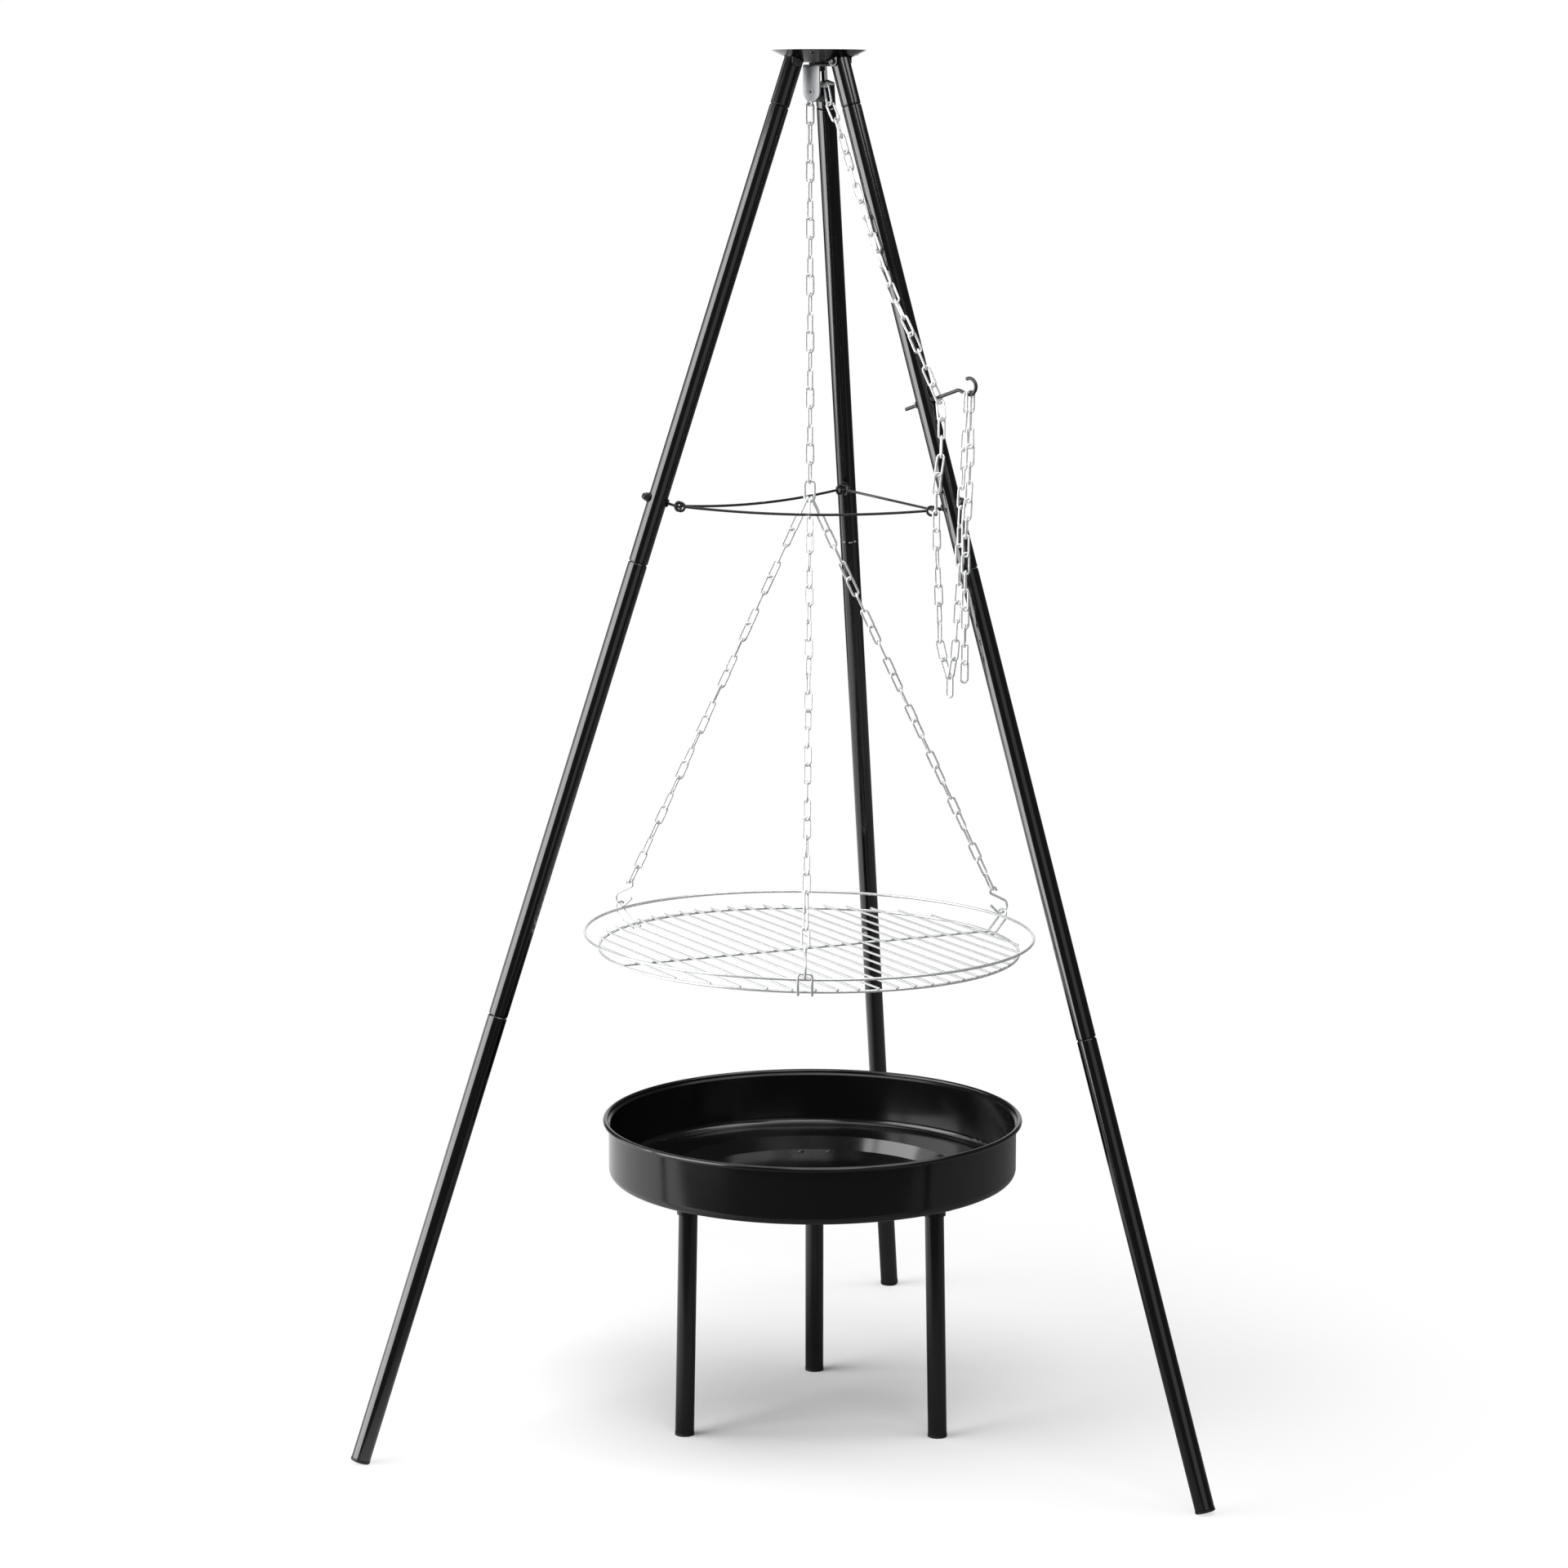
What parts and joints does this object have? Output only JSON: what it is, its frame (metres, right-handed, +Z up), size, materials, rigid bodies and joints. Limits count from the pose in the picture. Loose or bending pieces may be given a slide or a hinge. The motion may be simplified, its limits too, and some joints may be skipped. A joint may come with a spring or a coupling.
{
  "type": "campfire tripod grate",
  "caption": "Campfire tripod with sectional tube legs, a grate hung on chains over a pulley, a chain hook on one leg and a fire bowl on short legs.",
  "frame": {"origin": "on the ground, under the middle of the footprint's bounding box", "axes": "+Z up; +Y towards the back leg, level; +X completes a right-handed frame, towards the leg that carries the chain hook"},
  "size_m": [0.9832, 0.8546, 1.59],
  "materials": {
    "leg_black": "gloss powder coat",
    "head_black": "gloss powder coat on pressed sheet",
    "foot_black": "moulded, satin",
    "hook_black": "black zinc",
    "pulley_black": "moulded nylon",
    "strap_zinc": "zinc plated",
    "chain_zinc": "bright zinc plate",
    "grate_chrome": "chrome plated wire",
    "bowl_enamel": "satin heat-proof enamel"
  },
  "bodies": {
    "tripod_head": {"head_pan": "head_black", "head_cap": "head_black", "pan_rivets": "head_black", "hinge_brackets": "head_black", "bracket_rivets": "head_black", "hinge_bolts": "head_black", "hinge_nuts": "head_black", "centre_bolt": "head_black", "centre_spacer_and_nut": "head_black", "pulley_strap": "strap_zinc", "pulley_axle": "strap_zinc", "pulley_spacer_and_clip": "strap_zinc", "pulley_chain": "chain_zinc"},
    "leg_left": {"left_stub_tube": "leg_black", "left_upper_tube": "leg_black", "left_middle_tube": "leg_black", "left_lower_tube": "leg_black", "left_foot_cap": "foot_black", "left_stretcher_bolt": "hook_black", "left_stretcher_nut": "hook_black", "stretcher_left_right": "hook_black"},
    "leg_right": {"right_stub_tube": "leg_black", "right_upper_tube": "leg_black", "right_middle_tube": "leg_black", "right_lower_tube": "leg_black", "right_foot_cap": "foot_black", "right_stretcher_bolt": "hook_black", "right_stretcher_nut": "hook_black", "chain_hook": "hook_black", "chain_hook_nuts": "hook_black", "slack_chain": "chain_zinc", "chain_tail": "chain_zinc", "hoist_chain": "chain_zinc", "stretcher_right_back": "hook_black"},
    "leg_back": {"back_stub_tube": "leg_black", "back_upper_tube": "leg_black", "back_middle_tube": "leg_black", "back_lower_tube": "leg_black", "back_foot_cap": "foot_black", "back_stretcher_bolt": "hook_black", "back_stretcher_nut": "hook_black", "stretcher_left_back": "hook_black"},
    "pulley": {"pulley_wheel": "pulley_black"},
    "first_link": {"top_link": "chain_zinc"},
    "second_link": {"swing_link": "chain_zinc"},
    "lift_line": {"twist_chain": "chain_zinc"},
    "grate": {"lift_chain": "chain_zinc", "junction_link": "chain_zinc", "bridle_chains": "chain_zinc", "s_hooks": "chain_zinc", "grate_rim_ring": "grate_chrome", "grate_base_ring": "grate_chrome", "grate_bars": "grate_chrome", "grate_cross_rod": "grate_chrome", "grate_hangers": "grate_chrome"},
    "fire_bowl": {"fire_bowl": "bowl_enamel", "bowl_legs": "bowl_enamel", "bowl_feet": "foot_black", "bowl_screws": "bowl_enamel"}
  },
  "joints": [
    {"name": "left_leg_fold", "type": "hinge", "parent": "tripod_head", "child": "leg_left", "pos_m": [-0.02681, -0.15405, 1.57702], "axis": [-0.5, 0.866, 0], "range_deg": [-3, 0], "deforming": ["stretcher_left_right"]},
    {"name": "right_leg_fold", "type": "hinge", "parent": "tripod_head", "child": "leg_right", "pos_m": [0.02681, -0.15405, 1.57702], "axis": [-0.5, -0.866, 0], "range_deg": [-3, 0], "deforming": ["stretcher_right_back", "hoist_chain"]},
    {"name": "back_leg_fold", "type": "hinge", "parent": "tripod_head", "child": "leg_back", "pos_m": [0, -0.10761, 1.57702], "axis": [1, 0, 0], "range_deg": [-3, 0], "deforming": ["stretcher_left_back"]},
    {"name": "pulley_spin", "type": "hinge", "parent": "tripod_head", "child": "pulley", "pos_m": [-0.00225, -0.13727, 1.5436], "axis": [0.5, 0.866, 0], "continuous": true},
    {"name": "grate_swing_across", "type": "hinge", "parent": "tripod_head", "child": "first_link", "pos_m": [-0.01161, -0.13187, 1.5297], "axis": [0.5, 0.866, 0], "range_deg": [-1.5, 1.5]},
    {"name": "grate_swing_along", "type": "hinge", "parent": "first_link", "child": "second_link", "pos_m": [-0.01161, -0.13187, 1.5084], "axis": [0.866, -0.5, 0], "range_deg": [-1.5, 1.5]},
    {"name": "grate_turn", "type": "hinge", "parent": "second_link", "child": "lift_line", "pos_m": [-0.01161, -0.13187, 1.4871], "axis": [0, 0, 1], "range_deg": [-45, 45], "deforming": ["twist_chain"]},
    {"name": "grate_lift", "type": "slide", "parent": "lift_line", "child": "grate", "axis": [0, 0, 1], "range_m": [0, 0.1], "deforming": ["lift_chain"]},
    {"name": "bowl_slide", "type": "slide", "parent": "tripod_head", "child": "fire_bowl", "axis": [0, -1, 0], "range_m": [0, 0.6]}
  ],
  "couplings": [
    {"joint": "right_leg_fold", "follows": "left_leg_fold", "ratio": 1},
    {"joint": "back_leg_fold", "follows": "left_leg_fold", "ratio": 1},
    {"joint": "pulley_spin", "follows": "grate_lift", "rad_per_m": 92.593}
  ]
}
